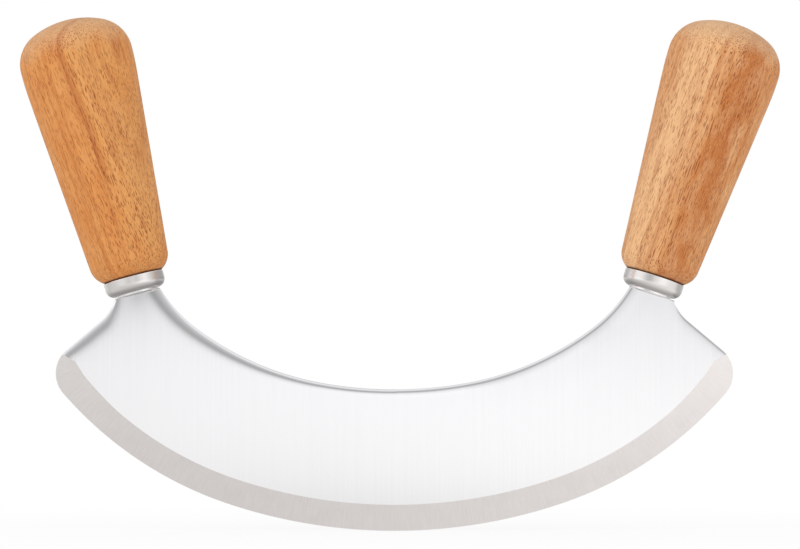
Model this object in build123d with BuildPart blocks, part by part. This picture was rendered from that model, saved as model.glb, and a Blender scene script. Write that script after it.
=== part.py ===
from build123d import *
from math import atan2, cos, degrees, hypot, radians, sin, sqrt, tan
import os

# A mezzaluna: a crescent blade with a turned handle glued on the tang at each horn.
# It stands upright as it is used. X runs from handle to handle, Y through the sheet and Z up.
# The origin is the lowest point of the cutting edge, in the middle of the sheet.
# Lengths are in millimetres and angles in degrees.

# The sheet of the blade
blade_thickness = 2.5
edge_thickness = 0.3
bevel_width = 8.2
back_round_share = 0.88  # of half the sheet, the rounding along the back of the blade

# Cutting edge, from the middle outwards. A slope is the edge's angle off level where an arc ends
belly_radius = 165.65
belly_slope = 18.37
flank_radius = 118.97
tip_slope = 48.99
tip_radius = 9.54

# Back of the horn, from the tip up to the neck
shoulder_fall = 40.16
shoulder_length = 14.39
neck_blend_radius = 12.8
neck_flare = 6.0
neck_width = 13.4
neck_trim = 1.7  # height of the neck's rough end above the seat that the ferrule stands on

# Spine, from the neck in to the middle
neck_slope = 61.0
spine_neck_radius = 46.19
spine_flank_slope = 36.8
spine_flank_radius = 93.72
spine_belly_slope = 10.4

# How far each handle leans outwards, and how far outwards it is fitted along its neck
lean_left = 14.8
lean_right = 18.0
shift_left = 0.1
shift_right = -0.45

# The tang, a thinner tongue of the same sheet
tang_length = 46.0
tang_width = 9.0
tang_tip_width = 6.0
tang_step = 0.35
seat_break = 0.3
notch_radius = 1.0
notch_shares = (0.42, 0.6, 0.78)

# Ferrule
ferrule_radius = 9.575
ferrule_height = 4.9
ferrule_wall = 0.8
ferrule_floor = 1.0
ferrule_round = 2.7
rim_round = 0.25
boss_radius = 6.8
boss_height = 0.45
slot_clearance = 0.15

# Handle
handle_length = 84.1
grip_radius = 18.0
dome_radius = 27.5
crown_radius = 11.2
waist_radius = 103.0
handle_taper = 5.01
base_round_height = 5.4
base_overhang = 0.05
tenon_clearance = 0.1
tenon_gap = 0.2
bore_clearance = 0.6
bore_point_angle = 118.0
glue_cap = 1.0
air_pocket = 1.5

# One overrun serves all cuts
overrun = 1.0

# Places along a grip are heights above the seat on the neck
ferrule_floor_top = boss_height + ferrule_floor
ferrule_rim = boss_height + ferrule_height
tang_thickness = blade_thickness - 2 * tang_step
bore_radius = hypot(tang_width, tang_thickness) / 2 + bore_clearance
glue_top = tang_length + glue_cap


def heading(angle):
    """The direction that points an angle above level."""
    return (cos(radians(angle)), sin(radians(angle)))


# The right half of the blade's outline, out along the edge and back along the spine
mean_lean = (lean_left + lean_right) / 2
with BuildLine() as half_outline:
    belly = JernArc((0, 0), heading(0), belly_radius, belly_slope)
    flank = JernArc(belly @ 1, heading(belly_slope), flank_radius, tip_slope - belly_slope)
    shoulder_heading = 180 - shoulder_fall
    tip = JernArc(flank @ 1, heading(tip_slope), tip_radius, shoulder_heading - tip_slope)
    shoulder = PolarLine(tip @ 1, shoulder_length, shoulder_heading)
    neck_heading = 90 + neck_flare
    neck_blend = JernArc(
        shoulder @ 1, heading(shoulder_heading), neck_blend_radius, neck_heading - shoulder_heading
    )
    neck_end = PolarLine(neck_blend @ 1, neck_width, 180 - mean_lean)
    spine_neck = JernArc(
        neck_end @ 1, heading(180 + neck_slope), spine_neck_radius, spine_flank_slope - neck_slope
    )
    spine_flank = JernArc(
        spine_neck @ 1,
        heading(180 + spine_flank_slope),
        spine_flank_radius,
        spine_belly_slope - spine_flank_slope,
    )
    spine_start = spine_flank @ 1
    spine_belly_radius = spine_start.X / sin(radians(spine_belly_slope))
    spine_belly = JernArc(
        spine_start, heading(180 + spine_belly_slope), spine_belly_radius, -spine_belly_slope
    )

# The seat that a ferrule stands on, the same distance below both rough neck ends
neck_middle = neck_end @ 0.5
seat_x = neck_middle.X - neck_trim * sin(radians(mean_lean))
seat_z = neck_middle.Y - neck_trim * cos(radians(mean_lean))


class Grip:
    """Where one handle stands: its seat, its axis and the plane that its profiles are drawn on."""

    def __init__(self, side, lean, shift):
        out, up = sin(radians(lean)), cos(radians(lean))
        self.point = (side * (seat_x + shift * up), 0, seat_z - shift * out)
        self.across = (side * up, 0, -out)
        self.along = (side * out, 0, up)
        self.seat = Plane(origin=self.point, x_dir=self.across, z_dir=self.along)
        self.profile = Plane(origin=self.point, x_dir=self.across, z_dir=(0, -side, 0))
        self.axis = Axis(self.point, self.along)


grips = {"left": Grip(-1, lean_left, shift_left), "right": Grip(1, lean_right, shift_right)}


def tang_outline(grip, root):
    """The tang: a tapering tongue with glue notches in its sides, from a root below the seat."""
    half_root = tang_width / 2
    half_tip = tang_tip_width / 2
    with BuildSketch(grip.profile) as tongue:
        with BuildLine():
            Polyline(
                (-half_root, -root),
                (half_root, -root),
                (half_root, ferrule_rim),
                (half_tip, tang_length),
                (-half_tip, tang_length),
                (-half_root, ferrule_rim),
                close=True,
            )
        make_face()
        for share in notch_shares:
            height = share * tang_length
            along_taper = (height - ferrule_rim) / (tang_length - ferrule_rim)
            half_width = half_root + (half_tip - half_root) * along_taper
            with Locations((-half_width, height), (half_width, height)):
                Circle(notch_radius, mode=Mode.SUBTRACT)
    return tongue.sketch


def bevel_section(centre_x, centre_z, radius, slope):
    """What grinding takes off both faces, on the spoke of one arc of the edge at a slope."""
    fall = (blade_thickness - edge_thickness) / 2 / bevel_width
    inner = radius - bevel_width - overrun
    outer = radius + overrun
    high = blade_thickness / 2 + fall * overrun
    low = edge_thickness / 2 - fall * overrun
    down = radians(slope)
    spoke = Plane(
        origin=(centre_x, 0, centre_z),
        x_dir=(sin(down), 0, -cos(down)),
        z_dir=(cos(down), 0, sin(down)),
    )
    with BuildSketch(spoke) as wedges:
        for side in (-1, 1):
            with BuildLine():
                Polyline((inner, side * high), (outer, side * low), (outer, side * high), close=True)
            make_face()
    return wedges.sketch


# Blade: the sheet with its back rounded, then the edge ground, the necks cut and the tangs added
flank_x = (belly_radius - flank_radius) * sin(radians(belly_slope))
flank_z = belly_radius - (belly_radius - flank_radius) * cos(radians(belly_slope))
tip_back = tip @ 1
grind_end = degrees(atan2(tip_back.X - flank_x, flank_z - tip_back.Y))

with BuildPart() as blade:
    with BuildSketch(Plane.XZ):
        with BuildLine():
            add(half_outline.line)
            mirror(half_outline.line, about=Plane.YZ)
        make_face()
    extrude(amount=blade_thickness / 2, both=True)
    rounded = blade.faces().filter_by(Axis.Y).edges().filter_by(GeomType.CIRCLE)
    fillet(rounded, radius=back_round_share * blade_thickness / 2)
    for centre_x, centre_z, radius, slope_in, slope_out in (
        (0, belly_radius, belly_radius, -belly_slope, belly_slope),
        (flank_x, flank_z, flank_radius, belly_slope, grind_end),
        (-flank_x, flank_z, flank_radius, -grind_end, -belly_slope),
    ):
        revolve(
            bevel_section(centre_x, centre_z, radius, slope_in),
            axis=Axis((centre_x, 0, centre_z), (0, -1, 0)),
            revolution_arc=slope_out - slope_in,
            mode=Mode.SUBTRACT,
        )
    for grip in grips.values():
        with BuildSketch(grip.seat):
            Rectangle(2 * neck_width, 2 * blade_thickness)
        extrude(amount=neck_width, mode=Mode.SUBTRACT)
        land = blade.faces().sort_by_distance(grip.point)[0]
        chamfer(land.edges(), length=seat_break)
    for grip in grips.values():
        extrude(tang_outline(grip, blade_thickness), amount=tang_thickness / 2, both=True)
blade.part.label = "blade"


def turned_ferrule(grip):
    """A drawn cup with a low boss under its floor and a slot that the tang passes through."""
    inside = ferrule_radius - ferrule_wall
    with BuildPart() as cup:
        with BuildSketch(grip.profile):
            with BuildLine():
                FilletPolyline(
                    (0, boss_height),
                    (ferrule_radius, boss_height),
                    (ferrule_radius, ferrule_rim),
                    (inside, ferrule_rim),
                    (inside, ferrule_floor_top),
                    (0, ferrule_floor_top),
                    radius=(0, ferrule_round, rim_round, rim_round, ferrule_round - ferrule_wall, 0),
                    close=True,
                )
            make_face()
        revolve(axis=grip.axis)
        with BuildSketch(grip.seat):
            Circle(boss_radius)
        extrude(amount=ferrule_floor_top)
        with BuildSketch(grip.seat):
            Rectangle(tang_width + 2 * slot_clearance, tang_thickness + 2 * slot_clearance)
        extrude(amount=ferrule_rim, mode=Mode.SUBTRACT)
    return cup.part


def turned_handle(grip):
    """A domed, tapering grip with a tenon for the ferrule and a blind bore for the tang."""
    tenon_radius = ferrule_radius - ferrule_wall - tenon_clearance
    tenon_end = ferrule_floor_top + tenon_gap
    tenon_round = ferrule_round - ferrule_wall
    apex = ferrule_rim + handle_length
    reach = sqrt((dome_radius - crown_radius) ** 2 - (grip_radius - crown_radius) ** 2)
    crown_height = apex - dome_radius + reach
    crown_turn = degrees(atan2(reach, grip_radius - crown_radius))
    with BuildPart() as turning:
        with BuildSketch(grip.profile):
            with BuildLine():
                dome = JernArc((0, apex), heading(0), dome_radius, crown_turn - 90)
                crown = JernArc(dome @ 1, dome % 1, crown_radius, -crown_turn)
                waist = JernArc(crown @ 1, crown % 1, waist_radius, -handle_taper)
                base_start = ferrule_rim + base_round_height
                cone_drop = (waist @ 1).Y - base_start
                cone = Line(waist @ 1, (waist @ 1) + cone_drop * Vector(-tan(radians(handle_taper)), -1))
                flat_edge = (ferrule_radius + base_overhang, ferrule_rim)
                TangentArc(cone @ 1, flat_edge, tangent=cone % 1)
                FilletPolyline(
                    flat_edge,
                    (tenon_radius, ferrule_rim),
                    (tenon_radius, tenon_end),
                    (0, tenon_end),
                    (0, apex),
                    radius=(0, tenon_round, 0),
                )
            make_face()
        revolve(axis=grip.axis)
        bore_start = tenon_end - overrun
        bore_end = glue_top + air_pocket
        bore_point = bore_end + bore_radius / tan(radians(bore_point_angle / 2))
        with BuildSketch(grip.profile):
            with BuildLine():
                Polyline(
                    (0, bore_start),
                    (bore_radius, bore_start),
                    (bore_radius, bore_end),
                    (0, bore_point),
                    close=True,
                )
            make_face()
        revolve(axis=grip.axis, mode=Mode.SUBTRACT)
    return turning.part


def glue_fill(grip):
    """The set adhesive: a plug of the bore's own size, round the tang and just over its tip."""
    with BuildPart() as plug:
        with BuildSketch(grip.seat.offset(ferrule_floor_top)):
            Circle(bore_radius)
        extrude(amount=glue_top - ferrule_floor_top)
        extrude(tang_outline(grip, 0), amount=tang_thickness / 2, both=True, mode=Mode.SUBTRACT)
    return plug.part


os.makedirs("parts", exist_ok=True)
export_step(blade.part, "parts/blade.step")
for side, grip in grips.items():
    for name, made in (
        ("ferrule", turned_ferrule(grip)),
        ("handle", turned_handle(grip)),
        ("adhesive", glue_fill(grip)),
    ):
        made.label = name + "_" + side
        export_step(made, "parts/" + made.label + ".step")
print("blade band at the middle", round((spine_belly @ 1).Y, 3), "seat", round(seat_x, 3), round(seat_z, 3))
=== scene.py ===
# %% [markdown]
# # A mezzaluna, from bare solids to a finished portrait
# This lesson dresses a rocking herb chopper: a crescent of stainless sheet with a turned wooden
# handle glued on each horn. The solids come ready made and exact. What is added here is how the
# real thing looks: ground and brushed steel, buffed borders, satin ferrules and open-pored wood.

# %% Load the frame
import math
import bpy
import numpy as np
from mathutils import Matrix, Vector


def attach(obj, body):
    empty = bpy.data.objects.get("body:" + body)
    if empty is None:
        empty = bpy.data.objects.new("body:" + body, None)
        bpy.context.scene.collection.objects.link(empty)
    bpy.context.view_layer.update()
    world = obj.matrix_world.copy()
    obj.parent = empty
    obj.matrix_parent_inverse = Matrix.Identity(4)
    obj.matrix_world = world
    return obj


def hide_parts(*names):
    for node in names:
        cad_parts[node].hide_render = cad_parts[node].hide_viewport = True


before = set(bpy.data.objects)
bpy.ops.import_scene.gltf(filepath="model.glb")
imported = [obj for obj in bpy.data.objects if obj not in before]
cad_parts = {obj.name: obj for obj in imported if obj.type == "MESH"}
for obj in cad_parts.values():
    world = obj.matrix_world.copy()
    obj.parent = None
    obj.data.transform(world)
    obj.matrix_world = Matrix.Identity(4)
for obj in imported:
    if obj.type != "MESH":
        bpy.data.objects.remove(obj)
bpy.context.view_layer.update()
print("solids", sorted(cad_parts))


# %% [markdown]
# ## One set of sizes, one scale
# The surfaces made below have to lie where the solids lie, so they start from the same driving
# sizes: the arcs of the edge and the spine, the lean of each handle and the steps of its turning.
# Each size is named, in millimetres, just before the step that needs it first. The frame counts in
# metres, so one scale turns finished points into metres.

# %% One scale
MM = 0.001
print("one millimetre in the frame's units", MM)

# %% [markdown]
# ## Walking a line of arcs
# The outline of the blade and the profile of a handle are both chains of arcs that run smoothly
# into each other. Such a chain is easiest to hold as a walk: so far ahead, turning so much. Any
# point on it then follows from the distance walked, for whole arrays of distances at once.


# %% The walk
def unit(angle):
    """Unit vectors at the given angles above level: cosine across and sine up."""
    return np.stack([np.cos(angle), np.sin(angle)], axis=-1)


class Trail:
    """A chain of legs, each a length and the angle turned over it.

    On a leg the heading grows evenly with the distance s. The chord to that point is s times
    sin(h) / h, where h is half the angle turned so far, and it points h past the leg's first
    heading. With no turn this is the straight line itself, so lines and arcs share one formula.
    """

    def __init__(self, start, heading, legs):
        lengths, turns = np.array(legs, float).T
        self.ends = np.concatenate([[0.0], np.cumsum(lengths)])
        self.headings = heading + np.concatenate([[0.0], np.cumsum(turns)])
        half = turns / 2
        chords = (lengths * np.sinc(half / np.pi))[:, None] * unit(self.headings[:-1] + half)
        self.corners = np.array(start, float) + np.concatenate([[[0.0, 0.0]], np.cumsum(chords, axis=0)])
        self.bends = turns / lengths

    def at(self, distance):
        """The points and the headings at these distances."""
        last = len(self.bends) - 1
        leg = np.clip(np.searchsorted(self.ends, distance, side="right") - 1, 0, last)
        run = distance - self.ends[leg]
        half = self.bends[leg] * run / 2
        chord = (run * np.sinc(half / np.pi))[:, None]
        points = self.corners[leg] + chord * unit(self.headings[leg] + half)
        return points, self.headings[leg] + 2 * half


def arc(radius, turn):
    """A leg that follows a circle: its length is the radius times the turn."""
    return (radius * abs(turn), turn)


quarter = Trail((0, 0), 0, [arc(1.0, math.pi / 2)])
print("a quarter circle of radius 1 ends at", quarter.corners[-1].round(6))

# %% [markdown]
# ## The edge
# Half a blade has two outlines, and both are walked outwards from the middle. The edge runs along
# its belly and its flank, turns round the tip, climbs the shoulder and sweeps into the neck.

# %% The edge's trail
belly_radius, belly_turn = 165.65, math.radians(18.37)
flank_radius, flank_turn = 118.97, math.radians(30.62)
tip_radius, tip_turn = 9.54, math.radians(90.85)
shoulder_length = 14.39
neck_blend_radius, neck_blend_turn = 12.8, math.radians(-43.84)

edge_trail = Trail(
    (0, 0),
    0,
    [
        arc(belly_radius, belly_turn),
        arc(flank_radius, flank_turn),
        arc(tip_radius, tip_turn),
        (shoulder_length, 0),
        arc(neck_blend_radius, neck_blend_turn),
    ],
)

print("edge, mm from the middle to the neck", round(float(edge_trail.ends[-1]), 3))

# %% [markdown]
# ## The neck and the spine
# The neck ends square to the handles' mean lean, and its far corner fixes the spine. So the spine
# is walked down from that corner first. What is left is one arc that has to be level in the middle,
# which gives its radius. The finished trail is then walked the other way, like the edge.

# %% The spine's trail
lean = {"left": math.radians(14.8), "right": math.radians(18.0)}
neck_width = 13.4
neck_trim = 1.7
neck_slope = math.radians(61.0)
spine_neck_radius, spine_neck_turn = 46.19, math.radians(-24.2)
spine_flank_radius, spine_flank_turn = 93.72, math.radians(-26.4)
spine_belly_slope = math.radians(10.4)

mean_lean = (lean["left"] + lean["right"]) / 2
neck_end = edge_trail.corners[-1]
neck_corner = neck_end + neck_width * unit(math.pi - mean_lean)
neck_middle = (neck_end + neck_corner) / 2
seat_middle = neck_middle - neck_trim * np.array([math.sin(mean_lean), math.cos(mean_lean)])

spine_out = Trail(
    neck_corner,
    math.pi + neck_slope,
    [arc(spine_neck_radius, spine_neck_turn), arc(spine_flank_radius, spine_flank_turn)],
)
spine_belly_radius = spine_out.corners[-1][0] / math.sin(spine_belly_slope)
spine_low = spine_out.corners[-1][1] - spine_belly_radius * (1 - math.cos(spine_belly_slope))
spine_trail = Trail(
    (0, spine_low),
    0,
    [
        arc(spine_belly_radius, spine_belly_slope),
        arc(spine_flank_radius, -spine_flank_turn),
        arc(spine_neck_radius, -spine_neck_turn),
    ],
)
print("band at the middle, mm", round(float(spine_low), 3))


# %% [markdown]
# ## Where each handle stands
# Both handles stand on a seat at the end of a neck and lean outwards, each by its own amount. A
# small object keeps the seat and the two directions that every turned shape needs.

# %% The grips
side_of = {"left": -1, "right": 1}
shift = {"left": 0.1, "right": -0.45}


class Grip:
    """The seat of one handle, its direction across and its direction along, in the XZ plane."""

    def __init__(self, name):
        self.name = name
        self.side = side_of[name]
        self.lean = lean[name]
        out, up = math.sin(self.lean), math.cos(self.lean)
        # Both are for the right hand, and the left is their mirror
        self.across = np.array([up, -out])
        self.along = np.array([out, up])
        self.seat = seat_middle + shift[name] * self.across

    def seat_in_frame(self):
        """The seat as a place in the frame, in metres."""
        return (self.side * self.seat[0] * MM, 0.0, self.seat[1] * MM)

    def place(self, radius, angle, height):
        """Points at a distance from the axis, round it by an angle and up it by a height."""
        across = radius * np.cos(angle)
        flat = self.seat + across[..., None] * self.across + height[..., None] * self.along
        return np.stack([self.side * flat[..., 0], radius * np.sin(angle), flat[..., 1]], axis=-1)


grips = {name: Grip(name) for name in ("left", "right")}

for grip in grips.values():
    print(grip.name, "seat, mm", grip.seat.round(3), "lean, degrees", round(math.degrees(grip.lean), 1))

# %% [markdown]
# ## From arrays to a mesh
# A surface that is worked out on a grid needs no modelling by hand: the points are one array, and
# the faces are every square of neighbours. The volume tells whether the faces look outwards.


# %% Faces of a grid
def grid_faces(rows, columns):
    """Every square of a grid of points whose last column joins its first, as round a tube."""
    row = np.arange(rows - 1)[:, None]
    column = np.arange(columns)[None, :]
    following = (column + 1) % columns
    corners = (row * columns + column, row * columns + following,
               (row + 1) * columns + following, (row + 1) * columns + column)
    return np.stack(np.broadcast_arrays(*corners), axis=-1).reshape(-1, 4)


def signed_volume(points, quads):
    """The volume inside closed faces: a sum of pyramids, positive where they look outwards."""
    a, b, c, d = (points[quads[:, k]] for k in range(4))
    return float((np.cross(b - a, c - a) * a).sum() + (np.cross(c - a, d - a) * a).sum()) / 6


print("squares on a tube of 3 rings of 4 points", len(grid_faces(3, 4)))


# %% [markdown]
# ## One way to make every piece
# Each new piece gets its points, its faces, its finishes and its creases from arrays, in one go.
# Its place is in its points, so the object itself stays at the origin, unturned and unscaled, and
# a pattern on object coordinates can't slide over it.


# %% Making a piece
def make_piece(name, points, quads, finishes, finish_index=None, uv=None, sharp=None, fans=None):
    """A smooth mesh from points in millimetres, turned outwards, with its finishes.

    Fans are the triangles round a pole. For the volume they count as squares of no fourth side.
    """
    fans = np.zeros((0, 3), int) if fans is None else fans
    volume = signed_volume(points, np.concatenate([quads, fans[:, [0, 1, 2, 2]]]))
    turn = 1 if volume > 0 else -1
    faces = quads[:, ::turn].tolist() + fans[:, ::turn].tolist()
    mesh = bpy.data.meshes.new(name)
    mesh.from_pydata((points * MM).tolist(), [], faces)
    mesh.polygons.foreach_set("use_smooth", np.ones(len(faces), bool))
    for finish in finishes:
        mesh.materials.append(finish)
    if finish_index is not None:
        mesh.polygons.foreach_set("material_index", finish_index.astype(np.int32))
    if uv is not None:
        corner_point = np.zeros(len(mesh.loops), np.int32)
        mesh.loops.foreach_get("vertex_index", corner_point)
        layer = mesh.uv_layers.new(name="trail")
        layer.data.foreach_set("uv", uv[corner_point].astype(np.float32).ravel())
    if sharp is not None:
        ends = np.zeros(len(mesh.edges) * 2, np.int32)
        mesh.edges.foreach_get("vertices", ends)
        crease = sharp(ends.reshape(-1, 2))
        mesh.edges.foreach_set("use_edge_sharp", crease)
    mesh.update()
    piece = bpy.data.objects.new(name, mesh)
    bpy.context.scene.collection.objects.link(piece)
    print(name, "faces", len(faces), "volume mm3", round(abs(volume)))
    return piece


# %% [markdown]
# ## Shader arithmetic
# A procedural finish is mostly arithmetic on coordinates. Writing it as Python expressions keeps it
# readable: a Wire holds one socket, and adding or multiplying wires adds the Math nodes. Everything
# that isn't arithmetic comes from one method that takes a node's type, settings and sockets.


# %% The Wire
class Wire:
    """One output socket, with arithmetic that builds Math nodes."""

    def __init__(self, pad, socket):
        self.pad = pad
        self.socket = socket

    def maths(self, operation, *values):
        return self.pad.node("ShaderNodeMath", {"operation": operation}, dict(enumerate(values)))

    def __add__(self, other):
        return self.maths("ADD", self, other)

    __radd__ = __add__

    def __sub__(self, other):
        return self.maths("SUBTRACT", self, other)

    def __rsub__(self, other):
        return self.maths("SUBTRACT", other, self)

    def __mul__(self, other):
        return self.maths("MULTIPLY", self, other)

    __rmul__ = __mul__

    def __truediv__(self, other):
        return self.maths("DIVIDE", self, other)

    def __rtruediv__(self, other):
        return self.maths("DIVIDE", other, self)

    def clamped(self):
        return self.maths("MINIMUM", self.maths("MAXIMUM", self, 0.0), 1.0)

    def ramp(self, low, high):
        """0 below low, 1 above high, and an even rise between. Low may be above high."""
        return ((self - low) / (high - low)).clamped()


print("a Wire has", sorted(name for name in vars(Wire) if not name.startswith("__")))


# %% [markdown]
# ## Placing the nodes
# A Sketchpad is an emptied node tree. Its one node-making method sets a node's own settings first,
# because some of them change which sockets the node has, and then fills or links the sockets.


# %% The Sketchpad
class Sketchpad:
    """The emptied node tree of a material or of the world."""

    def __init__(self, tree):
        self.tree = tree
        tree.nodes.clear()

    def node(self, kind, settings=None, sockets=None, out=0):
        """Adds a node: first its settings, then its sockets' values or links."""
        made = self.tree.nodes.new(kind)
        for key, value in (settings or {}).items():
            if key == "stops":
                ramp = made.color_ramp
                while len(ramp.elements) < len(value):
                    ramp.elements.new(1.0)
                for element, (place, colour) in zip(ramp.elements, value):
                    element.position = place
                    element.color = colour
            else:
                setattr(made, key, value)
        for key, value in (sockets or {}).items():
            socket = self.find(made.inputs, key)
            if isinstance(value, Wire):
                self.tree.links.new(value.socket, socket)
            else:
                socket.default_value = value
        return Wire(self, self.find(made.outputs, out)) if len(made.outputs) else None

    @staticmethod
    def find(sockets, key):
        """A socket by number, by its own identifier or by its shown name."""
        if isinstance(key, int):
            return sockets[key]
        for socket in sockets:
            if socket.identifier == key:
                return socket
        return sockets[key]


print("a Sketchpad has", sorted(name for name in vars(Sketchpad) if not name.startswith("__")))


# %% [markdown]
# ## The same few nodes again and again
# Nearly every finish blends colours, stretches noise and ends in one Principled shader. A pad that
# knows these by name keeps the finishes short.


# %% The finishing pad
class FinishPad(Sketchpad):
    """A Sketchpad with the nodes that every finish needs."""

    def blend(self, factor, first, second):
        """A colour between two colours."""
        sockets = {"Factor_Float": factor, "A_Color": first, "B_Color": second}
        return self.node("ShaderNodeMix", {"data_type": "RGBA"}, sockets, "Result_Color")

    def stretched(self, place, repeats):
        """The same coordinates, multiplied by a number of their own on each axis."""
        return self.node("ShaderNodeVectorMath", {"operation": "MULTIPLY"}, {0: place, 1: repeats})

    def noise(self, place, repeats, detail, roughness=0.5):
        """Cloudy noise that repeats so many times in a unit along each axis."""
        sockets = {"Vector": self.stretched(place, repeats), "Scale": 1.0}
        sockets = {**sockets, "Detail": detail, "Roughness": roughness}
        return self.node("ShaderNodeTexNoise", {"noise_dimensions": "3D"}, sockets, "Fac")

    def finish(self, sockets, bump, bump_height):
        """The closing nodes: a Principled shader, its bump in metres and the output."""
        depth = {"Height": bump, "Strength": 1.0, "Distance": bump_height}
        sockets = {**sockets, "Normal": self.node("ShaderNodeBump", {}, depth)}
        shader = self.node("ShaderNodeBsdfPrincipled", {}, sockets)
        self.node("ShaderNodeOutputMaterial", {}, {"Surface": shader})


print("a FinishPad adds", sorted(name for name in vars(FinishPad) if not name.startswith("__")))


# %% [markdown]
# ## Colours and empty finishes
# A colour is easiest to judge as a screen shows it, but a shader counts light. So wood and glue get
# their colours in screen levels, and one formula turns those into light.


# %% Colours and empty finishes
black = (0.0, 0.0, 0.0, 1.0)
white = (1.0, 1.0, 1.0, 1.0)


def display(red, green, blue):
    """A colour as a screen shows it, from 0 to 255, as the light that it stands for.

    Low levels are divided by 12.92. Above them 0.055 is added, the sum is divided by 1.055, and
    the result is raised to the power 2.4.
    """
    share = np.array([red, green, blue]) / 255
    light = np.where(share <= 0.04045, share / 12.92, ((share + 0.055) / 1.055) ** 2.4)
    return (*(float(level) for level in light), 1.0)


def new_finish(name):
    """A new material, and the sketchpad for its nodes."""
    material = bpy.data.materials.new(name)
    material.use_nodes = True
    return material, FinishPad(material.node_tree)


print("half grey on a screen is this much light", round(display(128, 128, 128)[0], 3))


# %% [markdown]
# ## Brushed steel for the flats
# The flats of the blade are belt-finished upright, which leaves hair-fine lines that hardly show
# face on. Noise squeezed sideways and drawn out upwards gives such lines. It varies the roughness
# most, the colour a little, and lifts the surface by less than a hair's width. Below each ferrule
# the colour is darkened towards black as painted shade, and the steel is made a little rougher.


# %% Brushed flats
# How much painted shade darkens the steel at each seat, and over how many mm that fades
seat_painted_shade = {"left": (0.41, 5.2), "right": (0.1, 11.0)}
# How often the noise repeats in a metre, across, through and up the sheet
hair_repeats, line_repeats = (2900.0, 900.0, 55.0), (1350.0, 400.0, 16.0)
flat_dark, flat_light = (0.895, 0.893, 0.92, 1), (0.993, 0.991, 1.0, 1)
hair_height = 0.0000012


def painted_shade_at_seats(pad, place):
    """Painted shade near the seats: each share times e to the minus distance over its length."""
    seat_shade = 0.0
    for grip in grips.values():
        sockets = {0: place, 1: grip.seat_in_frame()}
        off = pad.node("ShaderNodeVectorMath", {"operation": "DISTANCE"}, sockets, "Value")
        share, fades_over = seat_painted_shade[grip.name]
        fading = off / (-fades_over * MM)
        seat_shade = seat_shade + fading.maths("EXPONENT", fading) * share
    return seat_shade


def brushed_flat():
    """Mirror-like steel whose roughness is hairs and lines where the buffing left them."""
    material, pad = new_finish("brushed_flat")
    place = pad.node("ShaderNodeTexCoord", {}, {}, "Object")
    buffed = pad.node("ShaderNodeAttribute", {"attribute_name": "buffed"}, {}, "Fac")
    brushed = buffed.ramp(0.55, 1.0)
    hairs = pad.noise(place, hair_repeats, detail=3.0, roughness=0.65)
    lines = pad.noise(place, line_repeats, detail=3.0, roughness=0.6)
    tone = pad.blend(hairs * 0.35 + lines * 0.65, flat_dark, flat_light)
    # Painted shade: the colour darkens towards black near each seat, under the ferrules
    seat_shade = painted_shade_at_seats(pad, place)
    tone = pad.blend(seat_shade, tone, black)
    roughness = 0.1 + brushed * (0.03 + hairs * 0.05 + lines * 0.02) + seat_shade * 0.15
    pad.finish({"Base Color": tone, "Metallic": 1.0, "Roughness": roughness}, hairs * brushed, hair_height)
    return material


flat_finish = brushed_flat()
print(flat_finish.name, "nodes", len(flat_finish.node_tree.nodes))


# %% [markdown]
# ## Ground steel for the bevel
# A wheel grinds the bevel across the edge, so its scratches stand square to the edge all the way
# round the curve. Straight coordinates can't follow that. The mesh carries a map instead: its first
# number is the distance walked along the edge, and lines that depend on it alone turn with it.


# %% Ground bevel
# How often the noise repeats in a mm, along the edge and across the bevel
scratch_repeats, pass_repeats = (1.9, 0.16, 1.0), (0.13, 0.2, 1.0)
bevel_dark, bevel_light = (0.76, 0.717, 0.70, 1), (1.0, 0.975, 0.963, 1)
scratch_height = 0.000004


def ground_bevel():
    """Fine scratches across the edge, over the broader passes of the wheel."""
    material, pad = new_finish("ground_bevel")
    trail = pad.node("ShaderNodeUVMap", {"uv_map": "trail"})
    scratches = pad.noise(trail, scratch_repeats, detail=4.0, roughness=0.7)
    passes = pad.noise(trail, pass_repeats, detail=2.0)
    tone = pad.blend(scratches * 0.75 + passes * 0.25, bevel_dark, bevel_light)
    sockets = {"Base Color": tone, "Metallic": 1.0, "Roughness": 0.25 + scratches * 0.14}
    pad.finish(sockets, scratches, scratch_height)
    return material


bevel_finish = ground_bevel()
print(bevel_finish.name, "nodes", len(bevel_finish.node_tree.nodes))


# %% [markdown]
# ## Mill-finished steel for the tang
# Nobody polishes what the handle hides. The tang keeps the dull skin of the rolled sheet.


# %% Rolled tang
skin_repeats = (900.0, 900.0, 260.0)
tang_dark, tang_light = (0.34, 0.335, 0.33, 1), (0.52, 0.515, 0.51, 1)
skin_height = 0.00001


def rolled_tang():
    """Dull mill skin, cloudy and slightly rough."""
    material, pad = new_finish("rolled_tang")
    place = pad.node("ShaderNodeTexCoord", {}, {}, "Object")
    skin = pad.noise(place, skin_repeats, detail=4.0)
    tone = pad.blend(skin, tang_dark, tang_light)
    sockets = {"Base Color": tone, "Metallic": 1.0, "Roughness": 0.45 + skin * 0.15}
    pad.finish(sockets, skin, skin_height)
    return material


tang_finish = rolled_tang()
print(tang_finish.name, "nodes", len(tang_finish.node_tree.nodes))


# %% [markdown]
# ## The blade as one wrapped sheet
# The sheet could be cut from a plate with booleans, but its border isn't a plain rounding: it was
# buffed by hand, wide and soft beside the left neck and narrow elsewhere. So the blade is worked
# out as a tube that has been pressed flat. Stations run from the tip of one tang, down its horn,
# along the crescent and up to the other. At each station a loop goes across the front, from the
# outer line to the inner line, and comes home across the back.
#
# A lane is one point of that loop, followed from station to station. Lanes stand closer together
# near a rim, where the surface bends most, because their shares of the way in grow by a power.

# %% Lanes across the sheet
half_sheet = 1.25
half_edge = 0.15
# Steps in from each rim, and lanes over the flat between them
rings = 12
filling = 3
lanes = 2 * (rings + 1) + filling
ring_share = np.linspace(0, 1, rings + 1) ** 1.5
print("lanes on each face", lanes, "first steps in", ring_share[:4].round(3))


def eased(share):
    """From 0 to 1 with level ends: three times the square less twice the cube."""
    return share**2 * (3 - 2 * share)


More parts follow.
